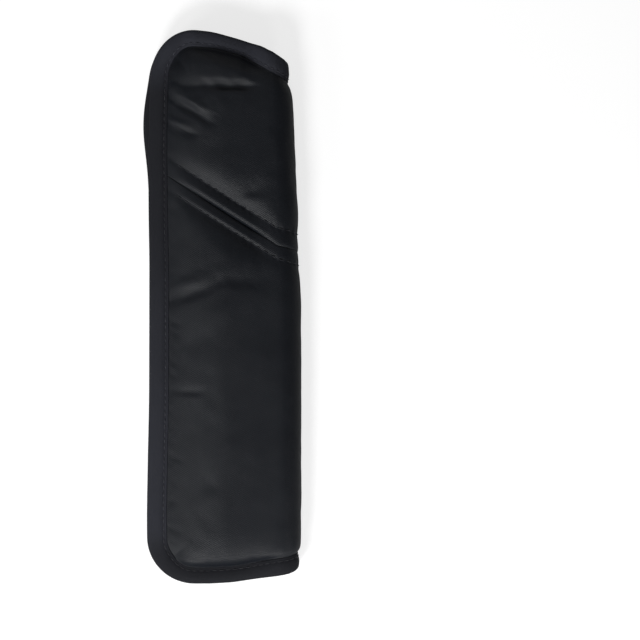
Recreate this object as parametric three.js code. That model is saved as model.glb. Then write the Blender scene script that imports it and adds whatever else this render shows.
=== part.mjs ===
// Seat belt shoulder pad: a padded sheet folded lengthwise into a sleeve that closes round the belt.
// It lies on its back flap, seen from above in the photo: +X to the fold, +Y up the pad, +Z up.
import * as THREE from 'three';

// Driving dimensions of the pad, in millimetres
const padLength = 280;
const flapWidth = 65.6;
const foldRadius = 3.4;
const closedHalfGap = 1.65;
const cornerRadius = 22;
const foldCentreHeight = 11.6;
const foldLineX = 28.8;
const foldLeanStart = 6;
const foldLeanSlope = 0.046;
const rimHeight = 1.7;
const foldRimHeight = 5.4;
const fullHeight = 8.6;
const foldHeight = 7.5;
const crownStart = 10.2;
const sideCrownWidth = 34;
const endCrownWidth = 10;
const foldSeamShare = 0.22;
const coverThickness = 0.8;
const allowanceThickness = 0.6;
const liningThickness = 0.6;
const layerGap = 0.3;
const bindingThickness = 0.8;
const bindingSideWidth = 9;
const bindingEndWidth = 7.2;
const bindingUnderWidth = 6.2;
const bindingOverhang = 1.1;
const tapeWidth = 9.8;
const tapeThickness = 1.1;
const tapeHalfLength = 107;
const seamAtFold = 27.5;
const seamSlope = 0.628;
const seamGap = 0.3;
const centreShift = [0.46, 0, 0];

// Half of the lining's length round the fold, from its middle to where a flap starts
const foldHalfArc = Math.PI * foldRadius / 2;
const halfPanel = flapWidth + foldHalfArc;
const seamCosine = 1 / Math.hypot(1, seamSlope);

const clamp = THREE.MathUtils.clamp;
const lerp = THREE.MathUtils.lerp;
const smoothstep = THREE.MathUtils.smoothstep;

// A ramp that is 0 below its start and climbs at 1 per millimetre above it, rounded over `ease`
function softRamp(value, start, ease) {
  const past = value - start;
  return (past + Math.hypot(past, ease)) / 2;
}

// Straight-line reading between [position, value] pairs given in rising order
function between(pairs, position) {
  if (position <= pairs[0][0]) {
    return pairs[0][1];
  }
  for (let i = 1; i < pairs.length; i += 1) {
    if (position <= pairs[i][0]) {
      const share = (position - pairs[i - 1][0]) / (pairs[i][0] - pairs[i - 1][0]);
      return lerp(pairs[i - 1][1], pairs[i][1], share);
    }
  }
  return pairs[pairs.length - 1][1];
}

// How far each end draws back from the straight, by the distance from the open edge across to the
// fold: square at the open edge, slanting over the flap, and bevelled round the fold
const topDraw = [[24, 0], [32, 0.8], [43.5, 3.3], [54.7, 6.4], [65.6, 10.4], [68, 13.6], [71, 17]];
const bottomDraw = [[30, 0], [40.5, 0.6], [50.5, 2], [60.7, 3.5], [65.6, 4.3], [68, 5.4], [71, 8]];
function topEnd(fromEdge) {
  return padLength / 2 - bindingOverhang - between(topDraw, fromEdge);
}
function bottomEnd(fromEdge) {
  return -padLength / 2 + bindingOverhang + between(bottomDraw, fromEdge);
}

// The fold leans in towards the top of the pad
function foldLine(y) {
  return foldLineX - foldLeanSlope * softRamp(y, foldLeanStart, 12);
}

// Open edges: the flap underneath bows out past the front one near the top
const frontEdge = [[-140, -37.1], [-108, -37.6], [-80, -37.2], [-40, -36.5], [20, -36.4], [50, -36.8],
  [80, -36.9], [100, -36.5], [120, -35.7], [140, -35.0]];
function openEdge(isFront, y) {
  const bow = 3 * Math.exp(-(((y - 94) / 22) ** 2));
  return between(frontEdge, y) - (isFront ? 0 : bow);
}

// The two flaps part over the belt and meet where the hook and loop tapes close
function halfGap(fromEdge) {
  return between([[16.5, closedHalfGap], [cornerRadius, foldRadius]], fromEdge);
}

// Rims sag under their own weight, further along the open edges than at the ends of the passage
const sideSag = [[0, 3], [4.5, 2.35], [9, 1.7], [16.5, 0.7], [22, 0.25], [27, 0]];
const endSag = [[0, 0.8], [9, 0.4], [22, 0]];

// 0 on the flaps and 1 round the fold, where the layers stay thicker out to the ends
function foldShare(place) {
  return place.angle !== null ? 1 : smoothstep(place.fromEdge, flapWidth - 14, flapWidth);
}

// One point of the panel by its place: which flap, the distance in from the open edge or the angle
// round the fold, the position along the pad, the distance in from the outline and the sag there
function pointAt(place, offset) {
  const centreX = foldLine(place.y);
  const centreZ = foldCentreHeight - place.sag;
  if (place.angle !== null) {
    const radius = foldRadius + offset;
    return [centreX + radius * Math.cos(place.angle), place.y, centreZ + radius * Math.sin(place.angle)];
  }
  const share = 1 - place.fromEdge / flapWidth;
  const x = centreX - share * (centreX - openEdge(place.isFront, place.y));
  const rise = halfGap(place.fromEdge) + offset;
  return [x, place.y, centreZ + (place.isFront ? rise : -rise)];
}

// Signed distance round the panel from the middle of the fold, positive on the front flap
function acrossPanel(column) {
  if (column.angle !== null) {
    return foldHalfArc * column.angle / (Math.PI / 2);
  }
  return (halfPanel - column.fromEdge) * (column.isFront ? 1 : -1);
}

// Line of the joining seam, straight across the unfolded panel, so it runs on over the fold
function seamLine(column) {
  return seamAtFold + seamSlope * acrossPanel(column);
}

// A place clear of the two ends
function placeAlong(column, y) {
  const { isFront, angle, fromEdge } = column;
  return { isFront, angle, fromEdge, y, sideInset: fromEdge, endInset: padLength, sag: between(sideSag, fromEdge) };
}

// A place near an end. The rings round the outline keep their distance from it, so within a corner
// they turn as arcs: `turn` is 0 where the open edge starts and 1 where the end does.
function placeNearEnd(column, isTop, inset, ring, turn) {
  const reach = cornerRadius - ring;
  const rounded = turn !== null;
  const fromEdge = rounded ? cornerRadius - reach * Math.cos(turn * Math.PI / 2) : column.fromEdge;
  const fromEnd = rounded ? cornerRadius - reach * Math.sin(turn * Math.PI / 2) : inset;
  const onLine = halfPanel - Math.hypot(halfPanel - fromEdge, 0.8);
  const y = isTop ? topEnd(onLine) - fromEnd : bottomEnd(onLine) + fromEnd;
  const sideDrop = between(sideSag, rounded ? ring : fromEdge);
  const endDrop = between(endSag, rounded ? ring : inset);
  const sag = rounded ? lerp(sideDrop, endDrop, smoothstep(turn, 0, 1)) : Math.max(sideDrop, endDrop);
  const sideInset = rounded ? cornerRadius - Math.min(1, 2 - 2 * turn) * reach : fromEdge;
  const endInset = rounded ? cornerRadius - Math.min(1, 2 * turn) * reach : inset;
  return { isFront: column.isFront, angle: column.angle, fromEdge, y, sideInset, endInset, sag };
}

// Position of a row of the panel on one column
function placeOn(column, row) {
  if (row.kind === 'seam') {
    return placeAlong(column, seamLine(column) + row.offset / seamCosine);
  }
  if (row.kind === 'level') {
    return placeAlong(column, row.y);
  }
  if (row.kind === 'blend') {
    const low = placeOn(column, row.low).y;
    const high = placeOn(column, row.high).y;
    return placeAlong(column, lerp(low, high, row.share));
  }
  const ring = Math.min(column.fromEdge, row.inset);
  let turn = null;
  if (column.fromEdge < cornerRadius && row.inset < cornerRadius) {
    const share = (cornerRadius - Math.max(column.fromEdge, row.inset)) / (cornerRadius - ring) / 2;
    turn = column.fromEdge <= row.inset ? share : 1 - share;
  }
  return placeNearEnd(column, row.kind === 'top', row.inset, ring, turn);
}

// Depth of the pressed band along the seam: a stitched groove, a ridge, the seam itself, a ridge and
// the second stitched groove, by the distance above the seam
const seamBand = [[-22, 0], [-16, 0.35], [-12.5, 1.1], [-9.5, 2.2], [-5.9, 3.3], [-3.1, 2.3], [-0.6, 3.1],
  [-0.15, 3.5], [0.15, 3.5], [1.3, 2.35], [2.6, 2.1], [7.5, 3.5], [9.8, 2.2], [12, 1.15], [15, 0.45], [20, 0]];

// Drawn-in valleys of the front flap: two ends, depth and half width
const valleys = [
  { from: [-18, 111.6], to: [20, 111.2], depth: 1.5, halfWidth: 3.6 },
  { from: [-27.5, 107.5], to: [-4, 94.5], depth: 0.9, halfWidth: 3.4 },
  { from: [-27.5, 92], to: [-17, 87.5], depth: 0.8, halfWidth: 3 },
  { from: [8, 56.5], to: [29, 59.5], depth: 0.5, halfWidth: 4 },
  { from: [-26, 5.2], to: [-3, 12.4], depth: 1, halfWidth: 4 },
  { from: [-3, 12.4], to: [30, 13.4], depth: 0.55, halfWidth: 5 },
  { from: [-24, -44.8], to: [-11, -44.8], depth: 0.6, halfWidth: 3.5 },
];

function valleyDepth(x, y) {
  let depth = 0;
  for (const valley of valleys) {
    const runX = valley.to[0] - valley.from[0];
    const runY = valley.to[1] - valley.from[1];
    const along = ((x - valley.from[0]) * runX + (y - valley.from[1]) * runY) / (runX ** 2 + runY ** 2);
    const nearest = clamp(along, 0, 1);
    const gap = Math.hypot(x - valley.from[0] - nearest * runX, y - valley.from[1] - nearest * runY);
    depth += valley.depth * Math.exp(-((gap / valley.halfWidth) ** 2));
  }
  return depth;
}

function rimAt(place) {
  return lerp(rimHeight, foldRimHeight, foldShare(place));
}

// How far the padding has risen to its full height at a distance in from the outline: a quick puff
// beside the binding and then a long swell
function crownRise(inset, width, puff) {
  const past = Math.max(inset - crownStart, 0);
  const swell = 1 - (1 - clamp(past / width, 0, 1)) ** 2.4;
  return puff * (1 - Math.exp(-past / 1.3)) + (1 - puff) * swell;
}
const sideRise = (place) => crownRise(place.sideInset, sideCrownWidth, 0.2);
const crownShare = (place) => sideRise(place) * crownRise(place.endInset, endCrownWidth, 0.25);

// Outer face of the padding before the seam and the valleys press it in, highest at the middle of a
// flap. It takes up the step where the flaps part over the belt, so that the outside stays even.
function crownHeight(place) {
  const share = crownShare(place);
  const sideShare = sideRise(place);
  const evenGap = lerp(closedHalfGap, foldRadius, sideShare);
  const step = (halfGap(place.sideInset) - evenGap) * share / Math.max(sideShare, 0.01);
  const pastMiddle = clamp(place.fromEdge * 2 / flapWidth - 1, 0, 1);
  return lerp(rimAt(place), lerp(fullHeight, foldHeight, pastMiddle ** 2), share) - step;
}

// How deep the seam presses in: it fades into the binding and is drawn flat round the fold
function seamShare(place) {
  return crownShare(place) ** 1.5 * lerp(1, foldSeamShare, foldShare(place));
}

function aboveSeam(place) {
  return (place.y - seamLine(place)) * seamCosine;
}

// Outer face of the cover. The back flap is flat where it rests on the ground.
function coverHeight(place) {
  const height = crownHeight(place) - between(seamBand, aboveSeam(place)) * seamShare(place);
  if (place.angle !== null) {
    return height;
  }
  const [x, y, z] = pointAt(place, 0);
  return place.isFront ? height - valleyDepth(x, y) * crownShare(place) : Math.min(height, z);
}

// Inner face of the cover, where the seam's allowances lie pressed open on each side of it
function coverUnderside(place) {
  const allowance = 1 - smoothstep(Math.abs(aboveSeam(place)), 7, 12);
  return coverHeight(place) - coverThickness - allowanceThickness * allowance * crownShare(place);
}

const liningOuter = liningThickness;
const foamUnder = liningOuter + layerGap;

// Outer face of the foam, pressed low in one wide trough under the seam
function foamHeight(place) {
  const trough = 1 - smoothstep(Math.abs(aboveSeam(place)), 8, 26);
  const share = crownShare(place);
  return crownHeight(place) - coverThickness - layerGap - share * 2.2 - 2.4 * trough * seamShare(place);
}

// Columns of the panel from the open edge of the back flap, round the fold, to that of the front
function panelColumns(insets, flapStops, foldSteps) {
  const stops = [...insets, ...flapStops];
  const back = stops.map((fromEdge) => ({ isFront: false, angle: null, fromEdge }));
  const front = stops.map((fromEdge) => ({ isFront: true, angle: null, fromEdge })).reverse();
  const fold = [];
  for (let i = 0; i <= foldSteps; i += 1) {
    const angle = lerp(-Math.PI / 2, Math.PI / 2, i / foldSteps);
    const fromMiddle = Math.abs(foldHalfArc * angle / (Math.PI / 2));
    fold.push({ isFront: angle > 0, angle, fromEdge: halfPanel - fromMiddle });
  }
  return [...back, ...fold, ...front];
}

const endRows = (kind, insets) => insets.map((inset) => ({ kind, inset }));
const seamRows = (offsets) => offsets.map((offset) => ({ kind: 'seam', offset }));

function blendRows(low, high, count) {
  const rows = [];
  for (let i = 1; i < count; i += 1) {
    rows.push({ kind: 'blend', low, high, share: i / count });
  }
  return rows;
}

// A mesh of triangles with its faces turned outwards
function makeBody(name, positions, indices, material) {
  let volume = 0;
  for (let i = 0; i < indices.length; i += 3) {
    const corner = (k) => new THREE.Vector3().fromArray(positions, indices[i + k] * 3);
    volume += corner(0).dot(corner(1).cross(corner(2)));
  }
  if (volume < 0) {
    indices.reverse();
  }
  const geometry = new THREE.BufferGeometry();
  geometry.setAttribute('position', new THREE.Float32BufferAttribute(positions, 3));
  geometry.setIndex(indices);
  geometry.computeVertexNormals();
  const mesh = new THREE.Mesh(geometry, material);
  mesh.name = name;
  return mesh;
}

// A sheet of cloth or foam with an outer and an inner face over a grid of columns and rows
function sheetBody(name, columns, rows, outerHeight, innerHeight, material) {
  const positions = [];
  const indices = [];
  const width = rows.length;
  const layer = columns.length * width;
  const places = columns.flatMap((column) => rows.map((row) => placeOn(column, row)));
  places.forEach((place) => positions.push(...pointAt(place, outerHeight(place))));
  places.forEach((place) => positions.push(...pointAt(place, innerHeight(place))));
  const quad = (a, b, c, d) => indices.push(a, b, c, a, c, d);
  for (let i = 0; i + 1 < columns.length; i += 1) {
    for (let j = 0; j + 1 < width; j += 1) {
      const a = i * width + j;
      const b = a + width;
      quad(a, a + 1, b + 1, b);
      quad(a + layer, b + layer, b + 1 + layer, a + 1 + layer);
    }
    const low = i * width;
    const high = low + width - 1;
    quad(low, low + width, low + width + layer, low + layer);
    quad(high + width, high, high + layer, high + width + layer);
  }
  for (let j = 0; j + 1 < width; j += 1) {
    const far = (columns.length - 1) * width + j;
    quad(j + 1, j, j + layer, j + 1 + layer);
    quad(far, far + 1, far + 1 + layer, far + layer);
  }
  return makeBody(name, positions, indices, material);
}

// Stations round the outline of the unfolded panel, each giving the place at a distance in from it
function outlineStations(columns, sideLevels, cornerSteps) {
  const inner = columns.filter((column) => column.fromEdge >= cornerRadius);
  const endStations = (isTop, list) => list.map((column) => ({
    endShare: 1, at: (inset) => placeNearEnd(column, isTop, inset, inset, null),
  }));
  const cornerStations = (isTop, isFront, turnsIn) => {
    const stations = [];
    for (let i = 1; i < cornerSteps; i += 1) {
      const turn = turnsIn ? i / cornerSteps : 1 - i / cornerSteps;
      const column = { isFront, angle: null, fromEdge: cornerRadius };
      stations.push({
        endShare: smoothstep(turn, 0.3, 1), at: (inset) => placeNearEnd(column, isTop, inset, inset, turn),
      });
    }
    return stations;
  };
  const sideStations = (isFront, levels) => levels.map((y) => ({
    endShare: 0, at: (inset) => placeAlong({ isFront, angle: null, fromEdge: inset }, y),
  }));
  return [
    ...endStations(false, inner), ...cornerStations(false, true, false),
    ...sideStations(true, sideLevels), ...cornerStations(true, true, true),
    ...endStations(true, [...inner].reverse()), ...cornerStations(true, false, false),
    ...sideStations(false, [...sideLevels].reverse()), ...cornerStations(false, false, true),
  ];
}

// Section of the binding tape, folded over the edge with one leg on the cover and one on the lining:
// distance in from the outline, and offset from the lining or, where `onCover`, from the cover
function bindingSection(width) {
  const face = layerGap + bindingThickness;
  const wall = bindingThickness - bindingOverhang;
  return [
    { inset: width, onCover: true, offset: face },
    { inset: 4.5, onCover: true, offset: face },
    { inset: 0.2, onCover: true, offset: face - 0.1 },
    { inset: -bindingOverhang, onCover: true, offset: 0 },
    { inset: -bindingOverhang, onCover: false, offset: -0.2 },
    { inset: 0.2, onCover: false, offset: -face },
    { inset: bindingUnderWidth, onCover: false, offset: -face },
    { inset: bindingUnderWidth, onCover: false, offset: -layerGap },
    { inset: wall, onCover: false, offset: -layerGap },
    { inset: wall, onCover: true, offset: layerGap },
    { inset: 4.5, onCover: true, offset: layerGap },
    { inset: width, onCover: true, offset: layerGap },
  ];
}

function bindingBody(name, stations, material) {
  const positions = [];
  const indices = [];
  for (const station of stations) {
    for (const mark of bindingSection(lerp(bindingSideWidth, bindingEndWidth, station.endShare))) {
      const place = station.at(mark.inset);
      positions.push(...pointAt(place, mark.offset + (mark.onCover ? rimAt(place) : 0)));
    }
  }
  const count = bindingSection(0).length;
  stations.forEach((station, i) => {
    const here = i * count;
    const next = ((i + 1) % stations.length) * count;
    for (let k = 0; k < count; k += 1) {
      const turned = (k + 1) % count;
      indices.push(here + k, here + turned, next + turned, here + k, next + turned, next + k);
    }
  });
  return makeBody(name, positions, indices, material);
}

const clothMaterial = (color, roughness) => new THREE.MeshStandardMaterial({ color, roughness, metalness: 0 });
const coverCloth = clothMaterial(0x1e2022, 0.85);
const bindingCloth = clothMaterial(0x24262c, 0.8);
const liningCloth = clothMaterial(0x18191b, 0.9);
const foam = clothMaterial(0x3a3a3c, 0.95);
const hookNylon = clothMaterial(0x141416, 0.7);
const loopNylon = clothMaterial(0x17171a, 0.95);

const rimInsets = [1, 4.5, 9, 10.5, 13, 16.5, cornerRadius];
const plainInsets = [1, 4.5, 9, 16.5, cornerRadius];
const foamInsets = [13, 16.5, cornerRadius];
const foldSteps = 10;
const flapStops = [27, 36, 44, 52, 59];
const coverColumns = panelColumns(rimInsets, flapStops, foldSteps);
const plainColumns = panelColumns(plainInsets, flapStops, foldSteps);
const foamColumns = panelColumns(foamInsets, flapStops, foldSteps);
const firstTop = { kind: 'top', inset: cornerRadius };
const halfSeam = seamGap / 2;
const lowSeam = seamRows([-22, -16, -12.5, -9.5, -5.9, -3.1, -0.6, -halfSeam]);
const highSeam = seamRows([halfSeam, 1.3, 2.6, 7.5, 9.8, 12, 15, 20]);

const lowerRows = [...endRows('bottom', rimInsets), { kind: 'bottom', inset: 27 },
  ...blendRows({ kind: 'bottom', inset: 27 }, lowSeam[0], 9), ...lowSeam];
const upperRows = [...highSeam, ...blendRows(highSeam[highSeam.length - 1], firstTop, 7),
  ...endRows('top', rimInsets).reverse()];
const plainRows = [...endRows('bottom', plainInsets), { kind: 'bottom', inset: 27 },
  ...blendRows({ kind: 'bottom', inset: 27 }, { kind: 'top', inset: 27 }, 6), { kind: 'top', inset: 27 },
  ...endRows('top', plainInsets).reverse()];
const foamRows = [...endRows('bottom', foamInsets), { kind: 'bottom', inset: 27 },
  ...blendRows({ kind: 'bottom', inset: 27 }, { kind: 'seam', offset: -26 }, 4),
  ...seamRows([-26, -16, -8, 8, 16, 26]),
  ...blendRows({ kind: 'seam', offset: 26 }, firstTop, 3),
  ...endRows('top', foamInsets).reverse()];

// Levels where the open edges are drawn, closer together where the flap underneath bows out
const sideLevels = [-113, -85, -55, -25, 5, 35, 60, 76, 88, 100, 113];
const tapeColumns = (isFront) => [0.2, 2.8, tapeWidth + 0.2].map((past) => (
  { isFront, angle: null, fromEdge: bindingUnderWidth + past }));
const tapeRows = [-tapeHalfLength, ...sideLevels.slice(1, -1), tapeHalfLength].map((y) => ({ kind: 'level', y }));
const tapeFace = () => -0.15;
const tapeBack = () => -0.15 - tapeThickness;

const pad = new THREE.Group();
pad.name = 'seat_belt_shoulder_pad';
pad.position.set(...centreShift);
pad.add(sheetBody('lower_cover_panel', coverColumns, lowerRows, coverHeight, coverUnderside, coverCloth));
pad.add(sheetBody('upper_cover_panel', coverColumns, upperRows, coverHeight, coverUnderside, coverCloth));
pad.add(sheetBody('foam_padding', foamColumns, foamRows, foamHeight, () => foamUnder, foam));
pad.add(sheetBody('lining', plainColumns, plainRows, () => liningOuter, () => 0, liningCloth));
pad.add(bindingBody('edge_binding', outlineStations(plainColumns, sideLevels, 8), bindingCloth));
pad.add(sheetBody('hook_strip', tapeColumns(true), tapeRows, tapeFace, tapeBack, hookNylon));
pad.add(sheetBody('loop_strip', tapeColumns(false), tapeRows, tapeFace, tapeBack, loopNylon));

export default pad;
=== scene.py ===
import math

import bpy
import numpy as np
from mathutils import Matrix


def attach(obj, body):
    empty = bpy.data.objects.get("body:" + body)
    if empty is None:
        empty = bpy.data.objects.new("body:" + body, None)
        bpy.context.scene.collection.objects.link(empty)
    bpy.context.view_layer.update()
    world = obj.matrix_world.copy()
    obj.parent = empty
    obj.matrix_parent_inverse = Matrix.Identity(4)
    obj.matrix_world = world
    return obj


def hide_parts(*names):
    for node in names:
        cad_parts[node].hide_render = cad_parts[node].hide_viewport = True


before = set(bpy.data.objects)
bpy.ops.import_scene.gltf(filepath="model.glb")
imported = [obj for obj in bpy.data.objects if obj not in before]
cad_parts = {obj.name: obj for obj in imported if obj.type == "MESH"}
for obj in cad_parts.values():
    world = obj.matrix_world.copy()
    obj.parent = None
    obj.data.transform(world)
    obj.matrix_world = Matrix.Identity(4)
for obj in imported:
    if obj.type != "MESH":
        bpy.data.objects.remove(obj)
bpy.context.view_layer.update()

MM = 0.001

# Driving dimensions, those of the solids
PAD_LENGTH = 280.0
FLAP_WIDTH = 65.6
FOLD_RADIUS = 3.4
CLOSED_HALF_GAP = 1.65
CORNER_RADIUS = 22.0
FOLD_CENTRE_HEIGHT = 11.6
FOLD_LINE_X = 28.8
FOLD_LEAN_START = 6.0
FOLD_LEAN_EASE = 12
FOLD_LEAN_SLOPE = 0.046
RIM_HEIGHT = 1.7
FOLD_RIM_HEIGHT = 5.4
FULL_HEIGHT = 8.6
FOLD_HEIGHT = 7.5
COVER_THICKNESS = 0.8
LINING_THICKNESS = 0.6
LINING_INSET = 1
LAYER_GAP = 0.3
BINDING_OVERHANG = 1.1
BINDING_SIDE_WIDTH = 9.0
BINDING_END_WIDTH = 7.2
BINDING_UNDER_WIDTH = 6.2
SEAM_AT_FOLD = 27.5
SEAM_SLOPE = 0.628
FOLD_SEAM_SHARE = 0.22
CENTRE_SHIFT = (0.46, 0.0)
CLOSED_REACH = (15, CORNER_RADIUS + 2)
FOLD_APPROACH = 14
FOLD_ROUNDING = 0.8
BACK_BOW = 3.0
BACK_BOW_HEIGHT = 94
BACK_BOW_LENGTH = 22

# Crown of the padding, as in the solids. A puff is the share that rises at once beside the stitching.
PADDING_INSET = 13.0
PADDING_CROWN_START = 10.2
PADDING_SIDE_WIDTH = 34.0
PADDING_END_WIDTH = 10.0
PADDING_SIDE_PUFF = 0.2
PADDING_END_PUFF = 0.25
PADDING_PUFF_LENGTH = 1.3
PADDING_CROWN_POWER = 2.4
PADDING_LOFT = 2.2
PADDING_TROUGH = 2.4
PADDING_TROUGH_REACH = (8, 26)

# Crown of the covers, which starts further out than that of the padding
SIDE_CROWN_START = 8.5
SIDE_CROWN_WIDTH = 31.5
END_CROWN_START = 7.6
TOP_CROWN_WIDTH = 9.5
BOTTOM_CROWN_WIDTH = 17.0
TOP_PUFF = 0.12
BOTTOM_PUFF = 0.78
PUFF_LENGTH = 1.1

# Near the fold an end's crown starts later and its binding is wider, over these distances from the edge
NEAR_FOLD = (48, 66)
TOP_CROWN_DELAY = 2.2
BOTTOM_CROWN_DELAY = 0.4
TOP_BINDING_EXTRA = 2.4
BOTTOM_BINDING_EXTRA = 0.6

# Relief of the covers, and how near they may come to the padding and to the floor
CREASE_RAGGEDNESS = 0.13
CREASE_UNEVENNESS = 0.18
CREASE_TAPER = (0.12, 0.88)
VALLEY_POWER = 0.3
FOLDS_START = (8.6, 11.5)
BINDING_DENT = 0.09
DENT_START = (7.5, 10)
DENT_END = (10.5, 16)
SLOW_UNEVENNESS = 0.13
QUICK_UNEVENNESS = 0.03
UPPER_PULL = 0.45
LOWER_PULL = 0.3
PULL_WIDTH = 1.5
PULL_UNEVENNESS = 0.3
COVER_CLEARANCE = 0.95
BARE_DROP = 4
RIM_DROP = 0.15
LIMIT_EASE = 0.25
FLOOR_GAP = 0.03

# Settling of the covers. The reaches are where stitching, seam band and creases let go of the cloth.
SEWN_REACH = (9.5, 12.5)
BAND_REACH = (9, 12)
CREASE_REACH = (0.1, 0.6)
SETTLE_STEP = 2
SETTLE_BASE = 0.9
SETTLE_FRAMES = 20
SETTLE_LIMIT = 0.2
SMOOTHING_ROUNDS = 4
CLOTH_FULLNESS = 0.003

# Stitches, with the places of the seam's two rows measured up from the seam
UPPER_STITCHES = 7.5
LOWER_STITCHES = -5.9
STITCH_PITCH = 4.4
SEAM_STITCH_INSET = 10.5
SEAM_STITCH_LENGTH = 3.3
SEAM_THREAD = 0.5
BINDING_STITCH_PITCH = 3.4
BINDING_STITCH_LENGTH = 2.7
BINDING_STITCH_INSET = 1.7
BINDING_STITCH_LIFT = 0.55
BINDING_THREAD = 0.46
THREAD_RINGS = 7
THREAD_SIDES = 6

FOLD_HALF_ARC = math.pi * FOLD_RADIUS / 2
HALF_PANEL = FLAP_WIDTH + FOLD_HALF_ARC
SEAM_COSINE = 1 / math.hypot(1, SEAM_SLOPE)

# How far the rims sag, by distance in from the open edge and from an end
SIDE_SAG = ((0, 3), (4.5, 2.35), (9, 1.7), (16.5, 0.7), (22, 0.25), (27, 0))
END_SAG = ((0, 0.8), (9, 0.4), (22, 0))
# How far each end draws back from the straight, by distance from the open edge across to the fold
TOP_DRAW = ((24, 0), (32, 0.8), (43.5, 3.3), (54.7, 6.4), (65.6, 10.4), (68, 13.6), (71, 17))
BOTTOM_DRAW = ((30, 0), (40.5, 0.6), (50.5, 2), (60.7, 3.5), (65.6, 4.3), (68, 5.4), (71, 8))
# X of the front flap's open edge, by height on the pad
FRONT_EDGE = (
    (-140, -37.1), (-108, -37.6), (-80, -37.2), (-40, -36.5), (20, -36.4), (50, -36.8),
    (80, -36.9), (100, -36.5), (120, -35.7), (140, -35.0),
)
# Depth of the band pressed in along the seam, by distance above the seam
SEAM_BAND = (
    (-26, 0), (-19, 0.25), (-14, 0.75), (-10, 1.65), (-7, 2.95), (-5.9, 3.2), (-5.3, 2.85), (-4.7, 2.6),
    (-2.2, 3.15), (-0.6, 3.8), (-0.1, 4.3), (0.1, 4.3), (0.6, 3.4), (1.3, 2.65), (2.6, 2.2), (5, 2.75),
    (6.9, 3.3), (7.5, 3.4), (8.1, 3.1), (9.8, 2.25), (12, 1.2), (15, 0.45), (20, 0),
)


def ramp(value, start, ease):
    """0 below the start and climbing at 1 above it, rounded over `ease`."""
    past = value - start
    return (past + np.hypot(past, ease)) / 2


def smoothstep(value, low, high):
    share = np.clip((value - low) / (high - low), 0, 1)
    return share * share * (3 - 2 * share)


def mix(low, high, share):
    return low + (high - low) * share


def curve(marks, at):
    """A smooth line through (position, value) marks that never overshoots them."""
    xs, ys = np.array(marks, float).T
    step = np.diff(xs)
    slope = np.diff(ys) / step
    weight_a = 2 * step[1:] + step[:-1]
    weight_b = step[1:] + 2 * step[:-1]
    same_way = slope[:-1] * slope[1:] > 0
    before = np.where(same_way, slope[:-1], 1)
    after = np.where(same_way, slope[1:], 1)
    inner = np.where(same_way, (weight_a + weight_b) / (weight_a / before + weight_b / after), 0)
    tangent = np.concatenate([slope[:1], inner, slope[-1:]])
    i = np.clip(np.searchsorted(xs, at) - 1, 0, len(step) - 1)
    t = np.clip((at - xs[i]) / step[i], 0, 1)
    start_part = ys[i] * (1 + 2 * t) * (1 - t) ** 2 + ys[i + 1] * t * t * (3 - 2 * t)
    return start_part + step[i] * (tangent[i] * t * (1 - t) ** 2 - tangent[i + 1] * t * t * (1 - t))


def top_end(from_edge):
    return PAD_LENGTH / 2 - BINDING_OVERHANG - curve(TOP_DRAW, from_edge)


def bottom_end(from_edge):
    return -PAD_LENGTH / 2 + BINDING_OVERHANG + curve(BOTTOM_DRAW, from_edge)


def fold_line(y):
    return FOLD_LINE_X - FOLD_LEAN_SLOPE * ramp(y, FOLD_LEAN_START, FOLD_LEAN_EASE)


def open_edge(front, y):
    """X of a flap's open edge. The back flap's bows out near the top."""
    bow = BACK_BOW * np.exp(-(((y - BACK_BOW_HEIGHT) / BACK_BOW_LENGTH) ** 2))
    return curve(FRONT_EDGE, y) - np.where(front, 0, bow)


def half_gap(from_edge):
    return mix(CLOSED_HALF_GAP, FOLD_RADIUS, smoothstep(from_edge, *CLOSED_REACH))


class Places:
    """Places on the unfolded sheet: across it from the fold, along it, and in from its outline."""

    KEYS = ("across", "from_edge", "y", "side_inset", "end_inset", "sag")

    def __init__(self, *values):
        for key, value in zip(self.KEYS, np.broadcast_arrays(*values)):
            setattr(self, key, value)
        self.front = self.across > 0
        self.in_fold = np.abs(self.across) <= FOLD_HALF_ARC
        near_fold = smoothstep(self.from_edge, FLAP_WIDTH - FOLD_APPROACH, FLAP_WIDTH)
        self.foldwards = np.where(self.in_fold, 1, near_fold)

    def points(self, offset):
        """Points at an offset outwards from the lining's inner face, as x, y and z."""
        centre_x = fold_line(self.y)
        centre_z = FOLD_CENTRE_HEIGHT - self.sag
        angle = np.clip(self.across / FOLD_HALF_ARC, -1, 1) * math.pi / 2
        radius = FOLD_RADIUS + offset
        share = 1 - self.from_edge / FLAP_WIDTH
        flap_x = centre_x - share * (centre_x - open_edge(self.front, self.y))
        rise = half_gap(self.from_edge) + offset
        x = np.where(self.in_fold, centre_x + radius * np.cos(angle), flap_x)
        flap_z = centre_z + np.where(self.front, rise, -rise)
        z = np.where(self.in_fold, centre_z + radius * np.sin(angle), flap_z)
        return np.stack(np.broadcast_arrays(x + CENTRE_SHIFT[0], self.y + CENTRE_SHIFT[1], z), -1)

    def flat_across(self):
        """Distance across the cloth, with the outer arc of the fold at its true length."""
        stretch = (FOLD_RADIUS + FOLD_HEIGHT) / FOLD_RADIUS
        arc = np.clip(self.across, -FOLD_HALF_ARC, FOLD_HALF_ARC)
        return self.across + arc * (stretch - 1)

    def rim(self):
        return mix(RIM_HEIGHT, FOLD_RIM_HEIGHT, self.foldwards)

    def above_seam(self):
        return (self.y - SEAM_AT_FOLD - SEAM_SLOPE * self.across) * SEAM_COSINE


def crown_rise(inset, start, width, puff, puff_length=PUFF_LENGTH, power=2):
    """Share that a crown has risen, with a quick puff beside the stitching and then a long swell."""
    past = np.maximum(inset - start, 0)
    swell = 1 - (1 - np.clip(past / width, 0, 1)) ** power
    return puff * (1 - np.exp(-past / puff_length)) + (1 - puff) * swell


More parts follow.
